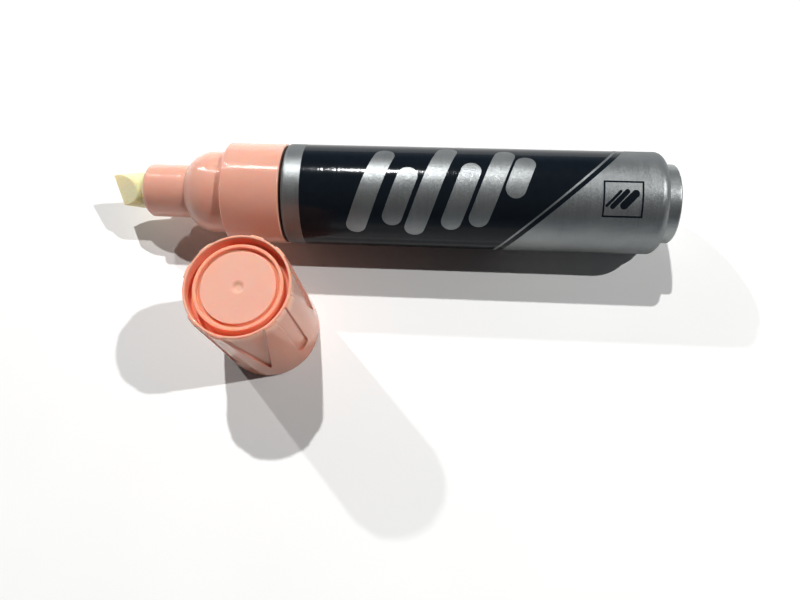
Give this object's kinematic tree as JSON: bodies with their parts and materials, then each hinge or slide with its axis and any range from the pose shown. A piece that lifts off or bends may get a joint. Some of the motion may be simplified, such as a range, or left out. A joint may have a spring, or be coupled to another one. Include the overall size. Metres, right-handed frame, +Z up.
{
  "type": "liquid chalk marker",
  "caption": "Fat pump-valve liquid chalk marker with an aluminium barrel, a chisel nib, a spring-loaded ink valve, stirring balls and a ribbed cap standing beside it.",
  "frame": {"origin": "bottom centre of the whole, on the table under the lying marker and its standing cap", "axes": "+X along the marker from nib to tail, +Z up, the cap stands on the -Y side"},
  "size_m": [0.1586, 0.0642, 0.0365],
  "materials": {
    "silver_lacquer": "silver lacquer on drawn aluminium, printed gloss black",
    "silver_plastic": "silver pigmented moulding",
    "coral_plastic": "glossy moulded polypropylene",
    "nib_fibre": "pressed and ground fibre",
    "seal_rubber": "matte",
    "white_plastic": "natural moulding",
    "spring_steel": "drawn wire",
    "ball_steel": "polished"
  },
  "bodies": {
    "marker": {"barrel": "silver_lacquer", "tail_plug": "silver_plastic", "tail_seal_ring": "seal_rubber", "front_section": "coral_plastic", "section_seal_ring": "seal_rubber", "valve_gasket": "seal_rubber", "valve_cage": "white_plastic", "valve_spring": "spring_steel"},
    "nib": {"nib": "nib_fibre"},
    "valve_stem": {"valve_stem": "white_plastic"},
    "front_ball": {"mixing_ball_front": "ball_steel"},
    "rear_ball": {"mixing_ball_rear": "ball_steel"},
    "cap": {"cap_shell": "coral_plastic", "cap_seal": "coral_plastic"}
  },
  "joints": [
    {"name": "nib_press", "type": "slide", "parent": "marker", "child": "nib", "axis": [1, 0, 0], "range_m": [0, 0.0025], "stiffness_N_per_m": 800, "springref_m": -0.003},
    {"name": "valve_lift", "type": "slide", "parent": "marker", "child": "valve_stem", "axis": [1, 0, 0], "range_m": [0, 0.0025], "deforming": ["valve_spring"]},
    {"name": "front_ball_roll", "type": "slide", "parent": "marker", "child": "front_ball", "axis": [1, 0, 0], "range_m": [-0.0345, 0.02945]},
    {"name": "rear_ball_roll", "type": "slide", "parent": "marker", "child": "rear_ball", "axis": [1, 0, 0], "range_m": [-0.0345, 0.02945]},
    {"name": "cap_lift", "type": "slide", "parent": "marker", "child": "cap", "axis": [0, 0, 1], "range_m": [0, 0.06]}
  ],
  "couplings": [
    {"joint": "valve_lift", "follows": "nib_press", "ratio": 1},
    {"joint": "rear_ball_roll", "follows": "front_ball_roll", "ratio": 1}
  ]
}
